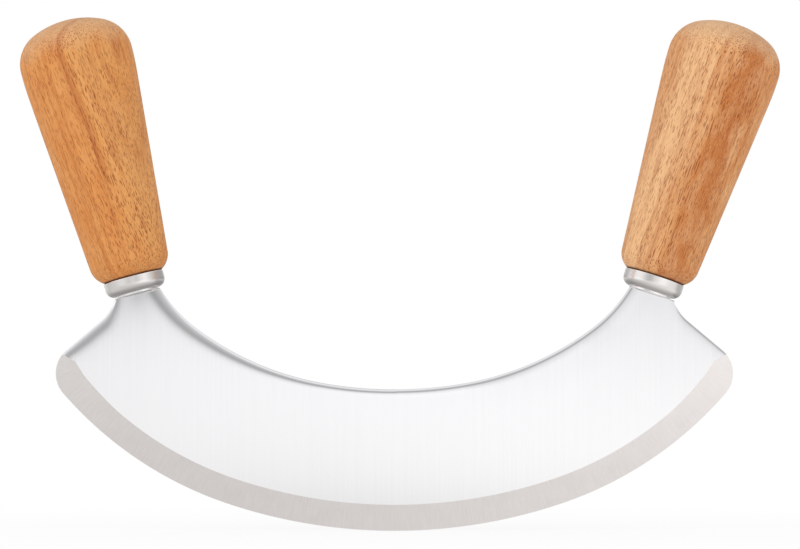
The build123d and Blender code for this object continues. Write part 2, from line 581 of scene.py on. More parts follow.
# %% [markdown]
# ## Where the wheel ground the bevel
# The wheel's bevel widens to the end of the flank and swings on a little, round the flank's own
# centre. It leaves the edge before the corner, across a thin wall. The half thickness at the rim
# is the thin edge's own where the wheel cut fully, and more where it only grazed the corner.

# %% The wheel's bevel
# The bevel's width up to the place where it widens, at the end of the flank and at the corner
bevel_width, flank_bevel, corner_bevel = 8.2, 8.75, 9.38
bevel_widens = 100.0
wheel_swing = math.radians(2.53)
# It stops just before the tip's arc ends, and the wall is the next step along the edge
bevel_stop = edge_trail.ends[3] - 1.8
wall = 0.04


def wheel_cut(outer_s, outer, outer_in):
    """The way in from the edge to the bevel's inner line, and the half thickness at the rim.

    Up to the end of the flank the line lies one bevel's width in. From there it is an arc round
    the flank's centre, by the flank's radius less the width. The rim's half thickness is the
    sheet's less the bevel's slope times the distance that the point lies outside that arc, and
    never less than the edge's own.
    """
    flank_end = edge_trail.ends[2]
    wheel = edge_trail.corners[2] + flank_radius * unit(edge_trail.headings[2] + math.pi / 2)
    first = edge_trail.headings[2] - math.pi / 2
    swing = np.clip((outer_s - flank_end) / (bevel_stop - flank_end), 0, 1)
    width = np.interp(outer_s, (bevel_widens, flank_end), (bevel_width, flank_bevel))
    width = width + (corner_bevel - flank_bevel) * swing
    wheel_line = wheel + (flank_radius - width)[:, None] * unit(first + swing * wheel_swing)
    past_flank = outer_s > flank_end
    reach = np.where(past_flank[:, None], wheel_line - outer, width[:, None] * outer_in)

    from_wheel = outer - wheel
    turned = np.arctan2(from_wheel[:, 1], from_wheel[:, 0]) - first
    there = np.interp(turned, (0, wheel_swing), (flank_bevel, corner_bevel))
    lack = np.hypot(*from_wheel.T) - (flank_radius - there)
    rim = np.clip(half_sheet - (half_sheet - half_edge) / flank_bevel * lack, half_edge, half_sheet)
    return reach, np.where(past_flank, rim, half_edge)[:, None]


print("bevel stops, mm along the edge", round(float(bevel_stop), 3))


# %% [markdown]
# ## How the wheel of cloth rounded the borders
# Inwards from the rim the surface falls short of the flat by two fading parts. The broad part
# starts at a slope and fades over a length, and the tight part makes up the rest of the rim's
# depth. Values along the spine stand at distances from its middle. The left half was buffed wide
# and soft, the right half hardly at all.

# %% Buffed borders
# The spine's border at stops in mm from its middle. Apart from the slopes, all measures are in mm
spine_stops = (0, 22, 37, 50, 62, 72, 80, 86, 92)
buffed_spine = {
    "left": {
        "slope": (0.36, 0.36, 0.36, 0.36, 0.36, 0.36, 0.35, 0.34, 0.34),
        "length": (0.68, 0.8, 1.1, 1.5, 1.95, 2.35, 2.85, 3.2, 3.2),
        "depth": (0.9, 0.9, 0.95, 1.0, 1.05, 1.1, 1.1, 1.1, 1.1),
        "reach": (2.6, 3.0, 3.9, 5.2, 6.2, 6.8, 7.0, 6.8, 6.4),
    },
    "right": {
        "slope": (0.2, 0.16, 0.12, 0.1, 0.09, 0.08, 0.08, 0.09, 0.09),
        "length": (0.9, 1.2, 2.2, 2.7, 3.2, 5.0, 5.5, 5.5, 5.5),
        "depth": (0.65, 0.68, 0.72, 0.76, 0.78, 0.84, 0.87, 0.87, 0.87),
        "reach": (3.0, 3.6, 5.0, 5.5, 6.0, 6.8, 6.8, 6.6, 6.4),
    },
}
spine_tight = 0.2
buffed_shoulder = {
    "left": {"slope": 0.28, "length": 1.7, "depth": 0.62, "tight": 0.25, "reach": 5.8},
    "right": {"slope": 0.05, "length": 1.6, "depth": 0.12, "tight": 0.14, "reach": 4.6},
}
# Millimetres past the bevel until the border is whole, and what is left of its reach at the seat
border_fades_in = 10.0
neck_share = 0.72


def short_of_flat(depth_in, buffing):
    """What a buffed border lacks of the flat's height, at distances in from its rim.

    The broad part is slope times length times e to the minus distance over length, less its value
    at the reach, so that it ends at nought there. The tight part is the rest of the rim's depth
    times e to the minus distance over its own short length.
    """
    length = buffing["length"]
    broad = buffing["slope"] * length
    fade = np.exp(-depth_in / length) - np.exp(-buffing["reach"] / length)
    tight = (buffing["depth"] - broad) * np.exp(-depth_in / buffing["tight"])
    return np.where(depth_in < buffing["reach"], broad * fade + tight, 0)


for name, buffing in buffed_shoulder.items():
    lacking = short_of_flat(np.array([0.0, 0.5, 2.0]), buffing)
    print(name, "shoulder lacks, at 0, 0.5 and 2 mm in,", lacking.round(3))


# %% [markdown]
# ## Stations along the outlines
# A station pairs a place on the edge with a place on the spine. The paired marks are the places
# where something changes, such as the end of an arc or of the bevel, so every crease falls on a
# station. Between two marks the stations stand evenly.

# %% Stations
# Stations from each mark to the next, and the share of the spine that each mark is paired with
station_counts = (58, 68, 44, 1, 34, 34)
spine_shares = np.array([0, 0.31, 0.635, 0.72, 0.721, 0.8675, 1.0])


def station_distances(grip):
    """How far along the edge and along the spine each station stands, up to the seat's plane."""

    def cut(trail):
        leg = np.linspace(trail.ends[-2], trail.ends[-1], 4000)
        height = (trail.at(leg)[0] - grip.seat) @ grip.along
        return float(np.interp(0, height, leg))

    flat_start, flank_start, tip_start, _, shoulder_end, _ = edge_trail.ends
    wall_end = bevel_stop + wall
    marks = [flat_start, flank_start, tip_start, bevel_stop, wall_end, shoulder_end, cut(edge_trail)]
    legs = zip(marks, marks[1:], station_counts)
    runs = [np.linspace(start, end, count, endpoint=False) for start, end, count in legs]
    outer = np.concatenate([*runs, marks[-1:]])
    return outer, np.interp(outer, marks, spine_shares * cut(spine_trail)), shoulder_end


for grip in grips.values():
    print(grip.name, "half, stations", len(station_distances(grip)[0]))


# %% [markdown]
# ## The lanes beside each outline
# Each lane near an outline is that outline moved inwards by a share of its reach. On the bevel the
# half thickness rises evenly with the distance, and on a border it is the flat's less what the
# buffing took. Past the bevel the reach settles to the border's own, and it narrows up the neck.


# %% Lanes beside the outlines
def outer_side(grip, outer_s, neck_start):
    """Points, half thicknesses and shares of buffing beside the edge, and what is ground."""
    outer, heading = edge_trail.at(outer_s)
    outer_in = unit(heading + math.pi / 2)
    ground = (outer_s <= bevel_stop + wall / 2)[:, None]
    reach, rim = wheel_cut(outer_s, outer, outer_in)

    settle = eased(np.clip((outer_s - bevel_stop) / border_fades_in, 0, 1))[:, None]
    narrows = np.interp(outer_s, (neck_start, outer_s[-1]), (1, neck_share))[:, None]
    buffing = dict(buffed_shoulder[grip.name])
    full = buffing["reach"] * narrows * outer_in
    leaves = reach[ground[:, 0]][-1]
    reach = np.where(ground, reach, leaves * (1 - settle) + full * settle)
    inward = (reach * outer_in).sum(axis=1)[:, None]
    shrunk = inward / buffing["reach"]
    for name in ("length", "tight", "reach"):
        buffing[name] = buffing[name] * shrunk

    near = outer[:, None] + ring_share[:, None] * reach[:, None]
    on_bevel = rim + (half_sheet - rim) * ring_share
    on_border = half_sheet - short_of_flat(inward * ring_share, buffing)
    return near, np.where(ground, on_bevel, on_border), np.where(ground, 1, ring_share), ground[:, 0]


def inner_side(grip, inner_s):
    """Points, half thicknesses and shares of buffing beside the spine."""
    inner, heading = spine_trail.at(inner_s)
    inner_in = -unit(heading + math.pi / 2)
    table = buffed_spine[grip.name]
    buffing = {name: np.interp(inner_s, spine_stops, table[name])[:, None] for name in table}
    buffing["tight"] = spine_tight
    depth = buffing["reach"] * ring_share
    near = inner[:, None] + depth[..., None] * inner_in[:, None]
    half = half_sheet - short_of_flat(depth, buffing)
    return near, half, np.broadcast_to(ring_share, depth.shape)


for grip in grips.values():
    outer_s, inner_s, neck_start = station_distances(grip)
    rims = outer_side(grip, outer_s, neck_start)[1][-1, 0], inner_side(grip, inner_s)[1][0, 0]
    print(grip.name, "half thickness at the neck's rim and the spine's middle", np.round(rims, 3))


# %% [markdown]
# ## The land and the tang
# Each neck ends in a land, the flat seat that the ferrule stands on, with a small break all round
# it. The tang rises from the land as a thinner tongue. Round notches are bitten out of its taper,
# so that the glue holds it.

# %% Land and tang
seat_break = 0.15
ferrule_rim = 5.35
tang_length, tang_width, tang_tip_width, tang_half = 46.0, 9.0, 6.0, 0.9
notch_radius = 1.0
notch_shares = (0.42, 0.6, 0.78)
notch_curve = notch_radius * np.sin(np.linspace(-1, 1, 13) * math.pi / 2)
# The share of the tang's half width that the lanes beside a rim cover
edge_lanes = 0.4


def with_land(grip, flat, half):
    """The last loop lowered by the break, and after it the land: the same loop drawn in by it."""
    inwards = np.clip((grip.seat - flat[-1]) @ grip.across, -1, 1)
    land = flat[-1:] + seat_break * inwards[:, None] * grip.across
    below = flat[-1:] - seat_break * grip.along
    land_half = np.maximum(half[-1:] - seat_break, half_edge / 2)
    return np.concatenate([flat[:-1], below, land]), np.concatenate([half, land_half])


def tang_loops(grip):
    """The tang's loops and their heights over the seat.

    Half the width falls evenly from the ferrule's rim to the tip. At a notch it loses the root of
    the notch's radius squared less the distance from the notch's middle squared.
    """
    marks = [share * tang_length + notch_curve for share in notch_shares]
    height = np.unique(np.concatenate([[0, ferrule_rim, tang_length], *marks]))
    taper = np.interp(height, (ferrule_rim, tang_length), (tang_width / 2, tang_tip_width / 2))
    for share in notch_shares:
        off = (height - share * tang_length) / notch_radius
        taper = taper - notch_radius * np.sqrt(np.clip(1 - off**2, 0, None))
    beside = 1 - edge_lanes * ring_share
    between = np.linspace(1 - edge_lanes, edge_lanes - 1, filling + 2)[1:-1]
    spread = np.concatenate([beside, between, -beside[::-1]])
    widths = (taper[:, None] * spread)[..., None] * grip.across
    return grip.seat + widths + height[:, None, None] * grip.along, height


print("loops on each tang", len(tang_loops(grips["left"])[1]))


# %% [markdown]
# ## One half of the blade
# The lanes of both sides and an even filling between them make the loops of one half. Towards the
# seat all lanes slide along the handle's axis, each by what it lacks, so that the last loop lies in
# one plane. The land and the tang follow on it.

# %% Half a blade
FLAT, BEVEL, TANG = 0, 1, 2


def half_blade(grip):
    """The loops of one half, from its middle to the tip of its tang, with what they are made of."""
    outer_s, inner_s, neck_start = station_distances(grip)
    near_outer, outer_half, outer_buffed, ground = outer_side(grip, outer_s, neck_start)
    near_inner, inner_half, inner_buffed = inner_side(grip, inner_s)

    share = np.linspace(0, 1, filling + 2)[1:-1][None, :, None]
    middle = near_outer[:, -1:] * (1 - share) + near_inner[:, -1:] * share
    plain = np.ones(middle.shape[:2])
    flat = np.concatenate([near_outer, middle, near_inner[:, ::-1]], axis=1)
    half = np.concatenate([outer_half, plain * half_sheet, inner_half[:, ::-1]], axis=1)
    buffed = np.concatenate([outer_buffed, plain, inner_buffed[:, ::-1]], axis=1)

    up_neck = eased(np.clip((outer_s - neck_start) / (outer_s[-1] - neck_start), 0, 1))
    lacking = (grip.seat - flat[-1]) @ grip.along
    flat = flat + up_neck[:, None, None] * lacking[None, :, None] * grip.along

    flat, half = with_land(grip, flat, half)
    tongue, height = tang_loops(grip)
    flat = np.concatenate([flat, tongue])
    half = np.concatenate([half, np.full(tongue.shape[:2], tang_half)])
    buffed = np.concatenate([buffed, buffed[-1:], np.ones(tongue.shape[:2])])
    walked = np.concatenate([outer_s, outer_s[-1:], outer_s[-1] + height])
    kind = np.concatenate([np.where(ground, BEVEL, FLAT), [FLAT], np.full(len(height), TANG)])
    return flat, half, buffed, walked, kind


halves = {name: half_blade(grip) for name, grip in grips.items()}
print("loops in each half", {name: len(made[0]) for name, made in halves.items()})


# %% [markdown]
# ## Faces, finishes and creases of the blade
# The loops make a tube, and a cap closes it over each tang's tip. A face is tang where both of its
# stations are, and bevel where both are ground and it lies between the edge and the wheel's line.
# Smooth shading would smear the light across every true edge, so these edges are marked as creases:
# the lines of the bevel, both rims, the land and the tangs' edges.


# %% Faces and creases
def blade_faces(kind, stations, around):
    """The squares of the tube and of the two caps, and the number of each one's finish."""
    quads = grid_faces(stations, around)
    station, lane = np.divmod(np.arange(len(quads)), around)
    lane_pair = np.minimum(lane, 2 * lanes - 2 - lane)
    on_bevel = (kind[station] == BEVEL) & (kind[station + 1] == BEVEL)
    on_bevel &= (lane_pair < rings) | (lane == around - 1)
    on_tang = (kind[station] == TANG) & (kind[station + 1] == TANG)
    finish = np.where(on_tang, TANG, np.where(on_bevel, BEVEL, FLAT))

    column = np.arange(lanes - 1)
    last = np.stack([column, column + 1, around - 2 - column, around - 1 - column], axis=-1)
    first = last[:, ::-1]
    last = last + (stations - 1) * around
    caps = np.full(2 * len(first), TANG)
    return np.concatenate([quads, first, last]), np.concatenate([finish, caps])


def creased(ends, kind, stations, around):
    """True for each edge, given by its two ends, on a line where the surface breaks."""
    row, place = np.divmod(ends, around)
    lane_of = np.minimum(place, around - 1 - place)
    along = lane_of[:, 0] == lane_of[:, 1]
    rim = along & ((lane_of[:, 0] == 0) | (lane_of[:, 0] == lanes - 1))
    kinds = kind[row]
    bevel_line = along & (lane_of[:, 0] <= rings) & (kinds == BEVEL).any(axis=1)
    bevel_line &= (lane_of[:, 0] == rings) | (kinds == FLAT).any(axis=1)
    same_row = row[:, 0] == row[:, 1]
    next_kind = kind[np.minimum(row[:, 0] + 1, stations - 1)]
    last_kind = kind[np.maximum(row[:, 0] - 1, 0)]
    step = same_row & ((next_kind != kinds[:, 0]) | (last_kind != kinds[:, 0]))
    tip = same_row & ((row[:, 0] == 0) | (row[:, 0] == stations - 1))
    return rim | bevel_line | step | tip


print("finishes by number", {"flat": FLAT, "bevel": BEVEL, "tang": TANG})


# %% [markdown]
# ## Joining the halves
# The left half is mirrored and walked backwards, so both halves make one row of loops. The map for
# the bevel counts the distance along the edge from the middle and the distance in from it. One
# value on each point, buffed, tells the flats' finish where the cloth wiped the brushing away.


# %% The blade
def wrapped(flat, half, side):
    """Front lanes and then back lanes, each as points in space."""
    front = np.stack([side * flat[..., 0], -half, flat[..., 1]], axis=-1)
    back = np.stack([side * flat[..., 0], half, flat[..., 1]], axis=-1)
    return np.concatenate([front, back[:, ::-1]], axis=1)


def build_blade():
    """Both halves as one tube: loops of the left half backwards, and then those of the right."""
    left, right = halves["left"], halves["right"]
    loops = np.concatenate([wrapped(*left[:2], -1)[::-1], wrapped(*right[:2], 1)[1:]])
    buffed = np.concatenate([left[2][::-1], right[2][1:]])
    buffed = np.concatenate([buffed, buffed[:, ::-1]], axis=1).ravel()
    walked = np.concatenate([-left[3][::-1], right[3][1:]])
    kind = np.concatenate([left[4][::-1], right[4][1:]])
    stations, around = loops.shape[:2]
    quads, finish = blade_faces(kind, stations, around)

    place = np.arange(around)
    across = ring_share[np.minimum(np.minimum(place, around - 1 - place), rings)] * bevel_width
    uv = np.stack([np.repeat(walked, around), np.tile(across, stations)], axis=-1)
    piece = make_piece(
        "dressed_blade", loops.reshape(-1, 3), quads, [flat_finish, bevel_finish, tang_finish],
        finish, uv, lambda ends: creased(ends, kind, stations, around),
    )
    share = piece.data.attributes.new("buffed", "FLOAT", "POINT")
    share.data.foreach_set("value", buffed.astype(np.float32))
    return piece


blade = build_blade()
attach(blade, "root")
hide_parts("blade")

# %% [markdown]
# ## Oiled hardwood
# Turned wood looks like wood because the pattern goes right through it: the lathe cuts one solid
# block, so a streak runs down the side and carries on over the dome. The finish is therefore worked
# out in space, in each handle's own directions, and not on the surface. Each handle was cut from a
# block of its own, so each gets its own shades and its own tilt of the planes of growth.

# %% Two blocks of wood
wood_umber = display(172, 86, 42)
# The dome's paler tone: end grain, and partly painted light from above
end_grain_and_light_tone = display(233, 192, 150)
# Painted shade for the band of wood just above the ferrule's rim
foot_shade_tone = display(92, 50, 26)
pore_brown = display(134, 50, 18)

# Each block: its four shades, how its growth planes tilt and where they start, its shades across
# them in mm, a seed, how far its fibres lean, where its pores crowd and where its dome pales, by end
# grain and partly painted light from above, how strong its dark line is, and where its knot lies
growth = {
    "left": {
        "shades": {"pale": display(240, 177, 109), "tan": display(234, 160, 90),
                   "orange": display(226, 149, 82), "russet": display(202, 122, 62)},
        "tilt": (1.0, -0.78, 0.0402),
        "start": 13.66,
        "stops": ((-24, "tan"), (-13, "orange"), (-8, "tan"), (-2.5, "orange"), (1, "tan"),
                  (7, "pale"), (10.5, "tan"), (14, "orange"), (26, "tan")),
        "seed": 3.1,
        "lean": (-0.12, -0.04),
        "crowded": (0.4, 5.0),
        "end_grain_and_light": (77.0, 86.0),
        "streak": 0.85,
        "knot": (13.3, -6.0, 61.6),
    },
    "right": {
        "shades": {"pale": display(251, 200, 147), "tan": display(235, 171, 112),
                   "orange": display(219, 144, 82), "russet": display(205, 128, 70)},
        "tilt": (1.0, -0.35, -0.07),
        "start": 3.7,
        "stops": ((-24, "tan"), (-16, "pale"), (-9, "pale"), (-1.2, "tan"), (0.3, "russet"),
                  (6, "russet"), (7.8, "orange"), (10, "tan"), (13, "pale"), (26, "pale")),
        "seed": 8.4,
        "lean": (0.03, -0.085),
        "crowded": (-4.5, 0.3),
        "end_grain_and_light": (79.0, 84.0),
        "streak": 0.0,
        "knot": (9.0, -6.6, 12.1),
    },
}
for name, block in growth.items():
    print(name, "block, bands", len(block["stops"]), "shades", sorted(block["shades"]))

# %% [markdown]
# ## Coordinates that belong to a handle
# The handles lean, so the pattern needs directions of its own, or the grain would run askew. A
# Mapping node of the Texture kind undoes the seat's place, the lean and the metres in one step. The
# fibres lean a little in their block too, so the grain's coordinates are sheared as they rise.


# %% Own axes and grain
def own_axes(pad, grip):
    """Coordinates in mm from the seat, with Z along the handle's own axis."""
    place = pad.node("ShaderNodeTexCoord", {}, {}, "Object")
    turn = (0.0, grip.side * grip.lean, 0.0)
    seat = grip.seat_in_frame()
    sockets = {"Vector": place, "Location": seat, "Rotation": turn, "Scale": (MM, MM, MM)}
    return pad.node("ShaderNodeMapping", {"vector_type": "TEXTURE"}, sockets)


def along_grain(pad, own, height, block):
    """The same place less the fibres' lean times the height."""
    sideways, forwards = block["lean"]
    sockets = {0: height, 1: (-sideways, -forwards, 0.0), 2: own}
    return pad.node("ShaderNodeVectorMath", {"operation": "MULTIPLY_ADD"}, sockets)


print("fibres' lean, degrees", {
    name: round(math.degrees(math.hypot(*block["lean"])), 1) for name, block in growth.items()
})

# %% [markdown]
# ## Bands of growth
# Planes of growth, tilted through the block, set its broad colours. The distance across them is a
# dot product, noise makes it wander, and a colour ramp over it lays the bands side by side.

# %% Bands of growth
growth_low, growth_high = -26.0, 26.0
growth_wander, wander_repeats = 3.5, (0.07, 0.07, 0.022)


def growth_bands(pad, own, block):
    """How far across the growth planes a point lies, in mm, and the broad colour there."""
    wander = pad.noise(own, wander_repeats, detail=2.0)
    sockets = {0: own, 1: block["tilt"]}
    across = pad.node("ShaderNodeVectorMath", {"operation": "DOT_PRODUCT"}, sockets, "Value")
    grown = across - block["start"] + (wander - 0.5) * growth_wander
    span = growth_high - growth_low
    stops = [((at - growth_low) / span, block["shades"][name]) for at, name in block["stops"]]
    share = (grown - growth_low) / span
    return grown, pad.node("ShaderNodeValToRGB", {"stops": stops}, {"Fac": share}, "Color")


print("bands span, mm", growth_high - growth_low)

# %% [markdown]
# ## Rings, streaks and fibres
# Between the bands lie finer things: early and late wood in the growth planes, darker streaks and
# fibres along the grain, soft clouds, and specks. Each is noise, stretched the way it lies. A table
# is the clearest place for such numbers, because they only make sense side by side.

# %% Noises of the wood
# Each noise: the space that it lies in, how often it repeats there in a mm, detail and roughness
wood_noises = {
    "rings": ("growth", (0.5, 0.012, 1.0), 5.0, 0.62),
    "streaks": ("grain", (0.75, 0.75, 0.03), 4.0, 0.62),
    "fibres": ("grain", (3.6, 3.6, 0.34), 4.0, 0.68),
    "specks": ("grain", (3.1, 3.1, 1.3), 3.0, 0.75),
    "clouds": ("own", (0.2, 0.2, 0.09), 3.0, 0.5),
}


def noises_of(pad, own, grain, grown, height, block):
    """Every noise of the table. The space of growth is across its planes, up, and a seed."""
    layers = {"X": grown, "Y": height, "Z": block["seed"]}
    spaces = {"own": own, "grain": grain, "growth": pad.node("ShaderNodeCombineXYZ", {}, layers)}
    made = {}
    for name, (space, repeats, detail, roughness) in wood_noises.items():
        made[name] = pad.noise(spaces[space], repeats, detail, roughness)
    return made


print("a fibre's noise repeats every", round(1 / wood_noises["fibres"][1][0], 2), "mm across the grain")

# %% [markdown]
# ## Shades from the noises
# Each noise blends in another shade of the block where it is high enough, by a modest share. Broad
# things go first, so the fine ones lie over them.

# %% Figure
# Each layer: its noise, the levels at which it starts and is full, its share and its shade
figure_layers = (
    ("clouds", 0.43, 0.7, 0.6, "pale"),
    ("rings", 0.46, 0.68, 0.5, "russet"),
    ("streaks", 0.5, 0.72, 0.5, "umber"),
    ("fibres", 0.5, 0.78, 0.32, "umber"),
    ("specks", 0.5, 0.8, 0.42, "umber"),
    ("specks", 0.48, 0.24, 0.4, "pale"),
)


def figured(pad, body, noises, block):
    """The bands' colour with every layer blended in."""
    shades = {**block["shades"], "umber": wood_umber}
    for name, start, full, share, shade in figure_layers:
        body = pad.blend(noises[name].ramp(start, full) * share, body, shades[shade])
    return body


print("layers over the bands", len(figure_layers))

# %% [markdown]
# ## A dark line and a knot
# On the left handle one dark line shows where growth paused. It lies in a growth plane, fades out
# low on the handle and carries on over the dome, paler there. Each handle also has one small knot,
# which is a soft ball in space, so it shows only where the surface cuts it.

# %% Line and knot
# Millimetres across the growth over which the line rises and falls, and up the handle to fade
line_rise, line_fall = (-1.0, -0.15), (1.9, 0.1)
streak_fade = (30.0, 46.0)
knot_radius, knot_fray = 2.2, 1.5


def paused_line(grown, height, block):
    """1 on the plane where growth paused: a steep rise on one side and a slow fall on the other."""
    line = grown.ramp(*line_rise) * grown.ramp(*line_fall)
    return line * height.ramp(*streak_fade) * block["streak"]


def small_knot(pad, own, fibres, block):
    """1 at the knot's centre and 0 at its radius, with an edge frayed by the fibres."""
    sockets = {0: own, 1: block["knot"]}
    away = pad.node("ShaderNodeVectorMath", {"operation": "DISTANCE"}, sockets, "Value")
    return (away + (fibres - 0.5) * knot_fray).ramp(knot_radius, 0.0)


for name, block in growth.items():
    print(name, "knot's height, mm", block["knot"][2], "line's strength", block["streak"])

# %% [markdown]
# ## Open pores
# Long thin cells give the open pores. They show as dashes down the side and as dots on the dome,
# where the knife crosses them. Fine pores stand everywhere. Long ones crowd in one stretch of the
# growth, and both come in patches.

# %% Pores
# Fine and long pores: how often the cells repeat in a mm, how far a pore reaches in its cell, and
# its strength everywhere, with what a patch and a crowded stretch add to that
pore_layers = {
    "fine": ((2.4, 2.4, 0.34), 0.36, (0.62, 0.3, 0.15)),
    "long": ((2.3, 2.3, 0.1), 0.3, (0.36, 0.5, 0.7)),
}
patch_repeats, patch_levels = (0.3, 0.3, 0.04), (0.36, 0.62)
# How far round its two limits, in mm, a crowded stretch rises and falls
crowd_rise, crowd_fall = (-1.0, 0.4), (2.0, -0.5)


def pore_layer(pad, grain, cell, reach):
    """Cells drawn out along the grain, each with a dark heart that reaches a share of the cell."""
    settings = {"feature": "F1", "distance": "EUCLIDEAN"}
    sockets = {"Vector": pad.stretched(grain, cell), "Scale": 1.0, "Randomness": 1.0}
    away = pad.node("ShaderNodeTexVoronoi", settings, sockets, "Distance")
    return away.ramp(reach, reach * 0.5)


def open_pores(pad, grain, grown, block):
    """The darker of the fine and the long pores at each place, from 0 to 1."""
    low, high = block["crowded"]
    rising, falling = [low + mm for mm in crowd_rise], [high + mm for mm in crowd_fall]
    crowd = grown.ramp(*rising) * grown.ramp(*falling)
    patch = pad.noise(grain, patch_repeats, detail=2.0).ramp(*patch_levels)
    pores = {}
    for name, (cell, reach, (always, in_patch, in_crowd)) in pore_layers.items():
        strength = always + patch * in_patch + crowd * in_crowd
        pores[name] = pore_layer(pad, grain, cell, reach) * strength
    return pores["fine"].maths("MAXIMUM", pores["fine"], pores["long"]).clamped()


for name, (cell, reach, _) in pore_layers.items():
    print(name, "pores, mm across and along", [round(2 * reach / repeats, 2) for repeats in cell[1:]])

# %% [markdown]
# ## The whole finish of a handle
# The layers go on in order: bands, finer figure, the paler dome (end grain, and partly painted light
# from above), the line and the knot, the pores, and last painted shade just above the ferrule's rim.
# Fibres stand a little proud and pores are sunk, which is all that the bump has to say.

# %% Oiled wood
foot_gap = 0.25
# Millimetres above the ferrule's rim that the painted shade reaches
foot_shade_reach = 0.7
# Shares of the paler dome (end grain and painted light), the knot, the pores and the painted shade at the
# foot
end_grain_and_light_share, knot_share, pore_share, foot_shade_share = 0.6, 0.7, 0.78, 0.85
# How far the clouds fray the dome's paling, in mm, and what makes up the dark line's strength
dome_fray = 6.0
line_always, line_in_rings, line_lost_on_dome = 0.45, 0.6, 0.5
pore_depth = 0.00004


def oiled_wood(grip):
    """Wood worked out in the handle's own space, so that it runs through from side to dome."""
    material, pad = new_finish("oiled_wood_" + grip.name)
    block = growth[grip.name]
    own = own_axes(pad, grip)
    height = pad.node("ShaderNodeSeparateXYZ", {}, {"Vector": own}, "Z")
    grain = along_grain(pad, own, height, block)
    grown, body = growth_bands(pad, own, block)
    noises = noises_of(pad, own, grain, grown, height, block)
    fibres = noises["fibres"]
    body = figured(pad, body, noises, block)

    # The dome pales: end grain, and partly painted light from above
    dome = (height + (noises["clouds"] - 0.5) * dome_fray).ramp(*block["end_grain_and_light"])
    body = pad.blend(dome * end_grain_and_light_share, body, end_grain_and_light_tone)
    line = paused_line(grown, height, block) * (line_always + noises["rings"] * line_in_rings)
    line = line * (1.0 - dome * line_lost_on_dome)
    body = pad.blend(line, body, wood_umber)
    body = pad.blend(small_knot(pad, own, fibres, block) * knot_share, body, wood_umber)
    pores = open_pores(pad, grain, grown, block)
    body = pad.blend(pores * pore_share, body, pore_brown)
    # Painted shade: a dark band on the wood just above the ferrule's rim, where the two parts meet
    foot = height.ramp(ferrule_rim + foot_shade_reach, ferrule_rim + foot_gap)
    body = pad.blend(foot * foot_shade_share, body, foot_shade_tone)

    roughness = 0.5 + fibres * 0.1 + pores * 0.2
    sockets = {"Base Color": body, "Roughness": roughness, "Specular IOR Level": 0.22}
    pad.finish(sockets, fibres * 0.3 - pores, pore_depth)
    return material


wood_finishes = {name: oiled_wood(grip) for name, grip in grips.items()}
print("nodes", {name: len(finish.node_tree.nodes) for name, finish in wood_finishes.items()})


# %% [markdown]
# ## The profile of a handle, outside
# A turned shape is its profile carried round an axis. The profile is a walk again: over the dome,
# round the crown, in at the waist, down the taper and round the foot. The crown's turn follows from
# the two radii and the grip's own. The foot's arc leaves the taper smoothly and has to end at the
# flat edge, so its turn is twice the angle between its first heading and the chord.

# %% Outside of a handle
ferrule_radius = 9.575
handle_length, grip_radius = 84.1, 18.0
dome_radius, crown_radius, waist_radius = 27.5, 11.2, 103.0
handle_taper = math.radians(5.01)
base_round_height, base_overhang, base_break = 5.4, 0.05, 0.2
foot_edge = np.array([ferrule_radius + base_overhang, ferrule_rim + foot_gap + base_break])
dome_steps, crown_steps, waist_steps, taper_steps, foot_steps = 30, 34, 14, 40, 22


def outside_profile():
    """Radius and height from the top of the dome down to the flat edge of the foot."""
    reach = math.sqrt((dome_radius - crown_radius) ** 2 - (grip_radius - crown_radius) ** 2)
    crown_turn = math.atan2(reach, grip_radius - crown_radius)
    legs = [
        arc(dome_radius, crown_turn - math.pi / 2),
        arc(crown_radius, -crown_turn),
        arc(waist_radius, -handle_taper),
    ]
    head = Trail((0, ferrule_rim + handle_length), 0, legs)
    upper, _ = head.at(np.concatenate([
        np.linspace(0, head.ends[1], dome_steps, endpoint=False),
        np.linspace(head.ends[1], head.ends[2], crown_steps, endpoint=False),
        np.linspace(head.ends[2], head.ends[3], waist_steps),
    ]))
    drop = upper[-1, 1] - (ferrule_rim + base_round_height)
    taper_end = upper[-1] + np.array([-math.tan(handle_taper), -1.0]) * drop
    taper = np.linspace(upper[-1], taper_end, taper_steps)

    heading = -math.pi / 2 - handle_taper
    chord = foot_edge - taper_end
    turn = 2 * (math.atan2(chord[1], chord[0]) - heading)
    length = float(np.hypot(*chord)) * (turn / 2) / math.sin(turn / 2)
    foot, _ = Trail(taper_end, heading, [(length, turn)]).at(np.linspace(0, length, foot_steps))
    return np.concatenate([upper, taper[1:], foot[1:]])


print("grip across, mm", round(2 * float(outside_profile()[:, 0].max()), 3))

# %% [markdown]
# ## The profile of a handle, inside
# The walk carries on where nobody looks, under the foot, over the tenon in the ferrule and up the
# bore for the tang to the drill's point. So the wood is a true solid with a hole in it.

# %% Inside of a handle
ferrule_floor_top = 1.45
tenon_radius, tenon_gap, tenon_round = 8.675, 0.2, 1.9
bore_radius, bore_end = 5.189, 48.5
bore_point_half_angle = math.radians(59.0)
tenon_steps = 9


def inside_profile():
    """Radius and height from under the foot round the tenon and up to the end of the bore."""
    foot = ferrule_rim + foot_gap
    tenon_end = ferrule_floor_top + tenon_gap
    corner = np.linspace(0, math.pi / 2, tenon_steps)
    rounding = zip(
        tenon_radius - tenon_round * (1 - np.cos(corner)),
        tenon_end + tenon_round * (1 - np.sin(corner)),
    )
    drill_point = bore_end + bore_radius / math.tan(bore_point_half_angle)
    return np.array([
        (foot_edge[0] - base_break, foot),
        (tenon_radius, foot),
        *rounding,
        (bore_radius, tenon_end),
        (bore_radius, bore_end),
        (0, drill_point),
    ])


print("bore ends, mm over the seat", round(float(inside_profile()[-1, 1]), 3))

# %% [markdown]
# ## Turning the handles
# Carried round its axis, the profile makes a tube. Where it meets the axis, at the top of the dome
# and at the drill's point, one point and a fan of triangles close it. The few true corners, at the
# foot and inside, are found by their angle.

# %% Handles
segments = 176
true_corner = math.radians(35)


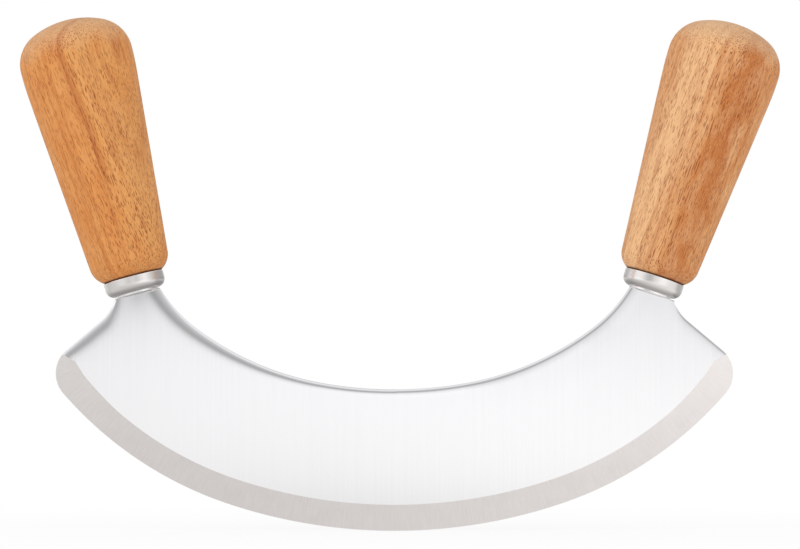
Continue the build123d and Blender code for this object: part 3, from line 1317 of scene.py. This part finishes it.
def build_handle(grip):
    """The surface of revolution: radius times cosine and sine of the angle, and the height."""
    profile = np.concatenate([outside_profile(), inside_profile()])
    angle = np.linspace(0, 2 * math.pi, segments, endpoint=False)[None, :]
    radius, height = (np.repeat(profile[1:-1, k : k + 1], segments, axis=1) for k in range(2))
    sides = grip.place(radius, angle, height).reshape(-1, 3)
    poles = grip.place(profile[[0, -1], 0], 0.0, profile[[0, -1], 1])
    quads = grid_faces(len(profile) - 2, segments)

    column = np.arange(segments)
    following = (column + 1) % segments
    last_row = len(sides) - segments
    top = [np.full(segments, len(sides)), following, column]
    end = [np.full(segments, len(sides) + 1), column + last_row, following + last_row]
    fans = np.concatenate([np.stack(top, axis=-1), np.stack(end, axis=-1)])
    points = np.concatenate([sides, poles])
    name = "turned_handle_" + grip.name
    piece = make_piece(name, points, quads, [wood_finishes[grip.name]], fans=fans)
    piece.data.set_sharp_from_angle(angle=true_corner)
    return piece


for grip in grips.values():
    handle = build_handle(grip)
    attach(handle, "root")
    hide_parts("handle_" + grip.name)


# %% [markdown]
# ## Satin ferrules
# The ferrules are drawn steel cups, tumbled until they are satin. Their solids already have the
# right shape, so they stay and only get a finish: faint turned lines round the axis, small dull
# patches where the tumbling was uneven, painted shade on the lower corner, and painted highlights
# along the top rim and on the boss at the seat.


# %% Ferrules
lip = 0.4
# Heights in mm over which the painted shade on the lower corner fades in, and its strength
corner_shade_from, corner_shade_to = 2.3, 1.2
corner_shade = {"left": 0.48, "right": 0.42}
ferrule_dark, ferrule_light = (0.76, 0.74, 0.73, 1), (0.91, 0.885, 0.87, 1)
# The paler tone painted as a highlight on the top rim and on the boss
painted_highlight_tone = (0.97, 0.96, 0.955, 1)
turned_repeats, tumbled_repeats = (0.09, 0.09, 6.5), (0.35, 0.35, 0.5)
turned_height = 0.000002


def satin_ferrule(grip):
    """Upwards from the seat: a painted highlight on the boss, painted shade on the lower corner, satin
    sides and a painted highlight on the rim.
    """
    material, pad = new_finish("satin_ferrule_" + grip.name)
    own = own_axes(pad, grip)
    turned = pad.noise(own, turned_repeats, detail=3.0, roughness=0.6)
    patches = pad.noise(own, tumbled_repeats, detail=2.0)
    height = pad.node("ShaderNodeSeparateXYZ", {}, {"Vector": own}, "Z")
    tone = pad.blend(turned * 0.5 + patches * 0.5, ferrule_dark, ferrule_light)
    # Painted shade: the lower corner darkens towards black
    tone = pad.blend(height.ramp(corner_shade_from, corner_shade_to) * corner_shade[grip.name], tone, black)
    # Painted highlights: the top rim and the boss at the seat are lifted towards a paler tone
    rim_highlight = height.ramp(ferrule_rim - lip, ferrule_rim - lip / 2)
    tone = pad.blend(rim_highlight + height.ramp(lip * 1.3, lip), tone, painted_highlight_tone)
    roughness = 0.24 + patches * 0.06 + turned * 0.04
    pad.finish({"Base Color": tone, "Metallic": 1.0, "Roughness": roughness}, turned, turned_height)
    return material


def refinish(node, finish):
    """The solid of this name, with this finish in place of its plain one."""
    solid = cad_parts[node]
    solid.data.materials.clear()
    solid.data.materials.append(finish)
    print(node, "finish", finish.name)


for grip in grips.values():
    refinish("ferrule_" + grip.name, satin_ferrule(grip))


# %% [markdown]
# ## Set adhesive
# Amber epoxy fills the bore round each tang and shows only when a handle comes off. Cloudy amber
# with small round bubbles tells it from the wood and the steel beside it.

# %% Adhesive
cloud_repeats, bubble_repeats = (260.0, 260.0, 260.0), (900.0, 900.0, 900.0)
amber_dark, amber_light = display(190, 150, 84), display(214, 182, 122)
bubble_pale = display(236, 216, 170)
# How far from its centre a bubble starts and is full, as a share of its cell
bubble_reach = (0.25, 0.1)
bubble_height = 0.00005


def set_adhesive():
    """Clouds blend two ambers, and the near heart of each cell is a pale bubble."""
    material, pad = new_finish("set_adhesive")
    place = pad.node("ShaderNodeTexCoord", {}, {}, "Object")
    cloud = pad.noise(place, cloud_repeats, detail=3.0)
    sockets = {"Vector": pad.stretched(place, bubble_repeats), "Scale": 1.0}
    bubble = pad.node("ShaderNodeTexVoronoi", {"feature": "F1"}, sockets, "Distance")
    bubble = bubble.ramp(*bubble_reach)
    tone = pad.blend(cloud, amber_dark, amber_light)
    tone = pad.blend(bubble * 0.5, tone, bubble_pale)
    pad.finish({"Base Color": tone, "Roughness": 0.28 + cloud * 0.15}, bubble, bubble_height)
    return material


adhesive_finish = set_adhesive()
for grip in grips.values():
    refinish("adhesive_" + grip.name, adhesive_finish)

# %% [markdown]
# ## The studio that the metal sees
# Polished metal shows the room more than itself, so the room is designed by its angle from the
# portrait's line of sight. Straight ahead it is bright, so that the flats look white. A dark ring
# lies round that, and beyond the ring it brightens again. The buffed borders tilt through all of
# this, which draws their soft grey line. The ferrules turn their sides to the walls, low over the
# horizon, where a wide panel glows on the left and a narrower one on the right.

# %% Brightness of the room
ahead_to_behind = (
    (0, 1.12), (3, 1.07), (5.6, 0.91), (8, 0.72), (12, 0.42), (16, 0.42), (26, 0.58),
    (37, 0.70), (50, 0.86), (90, 0.84), (115, 0.68), (150, 0.62), (172, 0.95), (180, 0.98),
)
round_the_walls = (
    (-180, 0.98), (-170, 0.9), (-150, 0.44), (-130, 0.5), (-108, 0.96), (-84, 1.14), (-62, 1.28),
    (-47, 1.1), (-36, 0.74), (-27, 0.5), (-18, 0.45), (-14, 0.54), (-9.5, 0.72), (-7, 0.88),
    (-5, 1.1), (0, 1.1), (5, 0.95), (8, 0.93), (15, 0.92), (30, 1.15), (44, 1.32), (62, 0.88),
    (82, 0.54), (108, 0.36), (150, 0.36), (170, 0.9), (180, 0.98),
)


def greys(stops, whole, first):
    """Stops of a ramp over so many degrees from the first one, each a grey brightness."""
    return [((degrees - first) / whole, (light, light, light, 1.0)) for degrees, light in stops]


print("brightest and darkest wall", max(round_the_walls, key=lambda stop: stop[1]),
      min(round_the_walls, key=lambda stop: stop[1]))

# %% [markdown]
# ## The world
# Up the middle the room's brightness follows the angle from straight ahead, and along the walls it
# follows the angle round the horizon. Only metal sees this room. Diffuse light is plain and even,
# and the camera sees white behind it all.

# %% World
even_light = 0.74
# The walls' share fades out while a direction rises by this much of its way across
walls_full, walls_end = 0.38, 0.52

world = bpy.data.worlds.new("studio")
bpy.context.scene.world = world
world.use_nodes = True
pad = FinishPad(world.node_tree)

direction = pad.node("ShaderNodeTexCoord", {}, {}, "Generated")
across = pad.node("ShaderNodeSeparateXYZ", {}, {"Vector": direction}, "X")
ahead = 0.0 - pad.node("ShaderNodeSeparateXYZ", {}, {"Vector": direction}, "Y")
upness = pad.node("ShaderNodeSeparateXYZ", {}, {"Vector": direction}, "Z")
angle = ahead.maths("ARCCOSINE", ahead) / math.pi
azimuth = across.maths("ARCTAN2", across, ahead) / (2 * math.pi) + 0.5

above = {"stops": greys(ahead_to_behind, 180, 0)}
above = pad.node("ShaderNodeValToRGB", above, {"Fac": angle}, "Color")
beside = {"stops": greys(round_the_walls, 360, -180)}
beside = pad.node("ShaderNodeValToRGB", beside, {"Fac": azimuth}, "Color")
steep = upness / across.maths("ABSOLUTE", across)
room = pad.blend(steep.ramp(walls_end, walls_full), above, beside)

glossy_ray = pad.node("ShaderNodeLightPath", {}, {}, "Is Glossy Ray")
lit = pad.blend(glossy_ray, (even_light, even_light, even_light, 1), room)
camera_ray = pad.node("ShaderNodeLightPath", {}, {}, "Is Camera Ray")
seen = pad.blend(camera_ray, lit, white)
background = pad.node("ShaderNodeBackground", {}, {"Color": seen, "Strength": 1.0})
pad.node("ShaderNodeOutputWorld", {}, {"Surface": background})
print("world's nodes", len(world.node_tree.nodes))


# %% [markdown]
# ## Two lamps
# Two soft boxes stand in front, left and right, to model the wood gently. Metal shows the room's own
# panels instead of them, so they are hidden from it.


# %% Lamps
def soft_box(name, place, aim, size, watts):
    """A square lamp at a place, turned to its aim."""
    light = bpy.data.lights.new(name, "AREA")
    light.shape = "SQUARE"
    light.size = size
    light.energy = watts
    lamp = bpy.data.objects.new(name, light)
    lamp.location = place
    lamp.rotation_euler = (Vector(aim) - Vector(place)).to_track_quat("-Z", "Y").to_euler()
    lamp.visible_glossy = False
    bpy.context.scene.collection.objects.link(lamp)
    print(name, "watts", watts)


tool_middle = (0, 0, 0.08)
soft_box("soft_box_left", (-0.80, -0.75, 0.36), tool_middle, 0.5, 2.4)
soft_box("soft_box_right", (0.80, -0.75, 0.36), tool_middle, 0.5, 1.5)

# %% [markdown]
# ## The floor
# The floor is one pale square that touches the edge at its lowest point.

# %% Floor
floor_half = 3.0
corners = [(-1, -1), (1, -1), (1, 1), (-1, 1)]
floor_mesh = bpy.data.meshes.new("floor")
floor_mesh.from_pydata([(x * floor_half, y * floor_half, 0) for x, y in corners], [], [(0, 1, 2, 3)])
floor = bpy.data.objects.new("floor", floor_mesh)
bpy.context.scene.collection.objects.link(floor)
print("floor, m across", 2 * floor_half)

# %% [markdown]
# ## What the camera sees of the floor
# The portrait stands on plain white. So the floor's own shading is mixed with white, fully so
# further off. Near the tool it keeps a share of its shading, so that the shadow under the edge
# stays.

# %% Floor as the camera sees it
floor_paint = (0.92, 0.905, 0.89, 1)
white_near, white_far = 0.05, 0.3
near_share = 0.86

floor_finish, pad = new_finish("pale_floor")
camera_ray = pad.node("ShaderNodeLightPath", {}, {}, "Is Camera Ray")
place = pad.node("ShaderNodeTexCoord", {}, {}, "Object")
away = pad.node("ShaderNodeVectorMath", {"operation": "LENGTH"}, {0: place}, "Value")
paint = pad.blend(camera_ray, floor_paint, white)
matte = pad.node("ShaderNodeBsdfDiffuse", {}, {"Color": paint})
lightbox = pad.node("ShaderNodeEmission", {}, {"Color": white, "Strength": 1.0})
glow = near_share + away.ramp(white_near, white_far) * (1.0 - near_share)
plain_floor = pad.node("ShaderNodeMixShader", {}, {0: camera_ray * glow, 1: matte, 2: lightbox})
print("share of plain white near the tool", near_share)

# %% [markdown]
# ## What the metal sees of the floor
# The bevel and the ferrules' undersides mirror the floor, which glows for them as painted light. A
# ramp over the distance in front of and behind the tool gives its greys, slightly warm. It glows
# brighter to the right, and has a painted shadow behind the tool, where the tool's own shade would
# fall. Each share varies by place alone, so the reflections move as they should when the view does.

# %% Floor as the metal sees it
floor_levels = ((0.0, 0.725), (0.05, 0.725), (0.15, 0.715), (0.27, 0.77), (0.5, 1.0))
green_share, blue_share = 0.985, 0.97
# Metres behind the tool over which the painted shadow darkens the floor, its least loss, and the
# loss that is added from left to right. Then the metres from left to right over which it gains
# painted light.
behind_tool, behind_least, behind_sides, behind_more = (0.015, 0.055), 0.12, (-0.1, 0.1), 0.34
gain_sides, gain = (-0.05, 0.2), 0.28

across = pad.node("ShaderNodeSeparateXYZ", {}, {"Vector": place}, "X")
ahead = pad.node("ShaderNodeSeparateXYZ", {}, {"Vector": place}, "Y")
distance = ahead.maths("ABSOLUTE", ahead)
stops = [(at, (light, light * green_share, light * blue_share, 1.0)) for at, light in floor_levels]
mirrored = pad.node("ShaderNodeValToRGB", {"stops": stops}, {"Fac": distance}, "Color")
# Painted shadow behind the tool and painted light towards the right, in the floor's glow for metal
behind = ahead.ramp(*behind_tool) * (behind_least + across.ramp(*behind_sides) * behind_more)
strength = (1.0 + across.ramp(*gain_sides) * gain) * (1.0 - behind)
mirrored = pad.node("ShaderNodeEmission", {}, {"Color": mirrored, "Strength": strength})
glossy_ray = pad.node("ShaderNodeLightPath", {}, {}, "Is Glossy Ray")
surface = pad.node("ShaderNodeMixShader", {}, {0: glossy_ray, 1: plain_floor, 2: mirrored})
pad.node("ShaderNodeOutputMaterial", {}, {"Surface": surface})
floor_mesh.materials.append(floor_finish)
print("floor's nodes", len(floor_finish.node_tree.nodes))

# %% [markdown]
# ## The camera
# The portrait was taken from far away with a long lens, level with the blade and a little below the
# middle of the tool. The lens follows from the picture: so many millimetres across the frame, at
# that distance.

# %% Camera
camera_distance = 1.05
camera_height = 0.036
mm_per_pixel = 0.316
frame_width, frame_height = 800, 549
middle_x, edge_y = 394.4, 530.2

aim = Vector((
    (frame_width / 2 - middle_x) * mm_per_pixel * MM,
    0.0,
    (edge_y - frame_height / 2) * mm_per_pixel * MM,
))
eye = Vector((aim.x, -camera_distance, camera_height))
camera_data = bpy.data.cameras.new("portrait")
camera_data.sensor_width = 36.0
camera_data.lens = camera_data.sensor_width * (aim - eye).length / (frame_width * mm_per_pixel * MM)
camera_data.clip_start = 0.01
camera = bpy.data.objects.new("portrait", camera_data)
camera.location = eye
camera.rotation_euler = (aim - eye).to_track_quat("-Z", "Y").to_euler()
bpy.context.scene.collection.objects.link(camera)
bpy.context.scene.camera = camera
bpy.context.scene.view_settings.view_transform = "Standard"
print("lens mm", round(camera_data.lens, 1))

# %% [markdown]
# The dressed tool has to stay within the solids' own box.
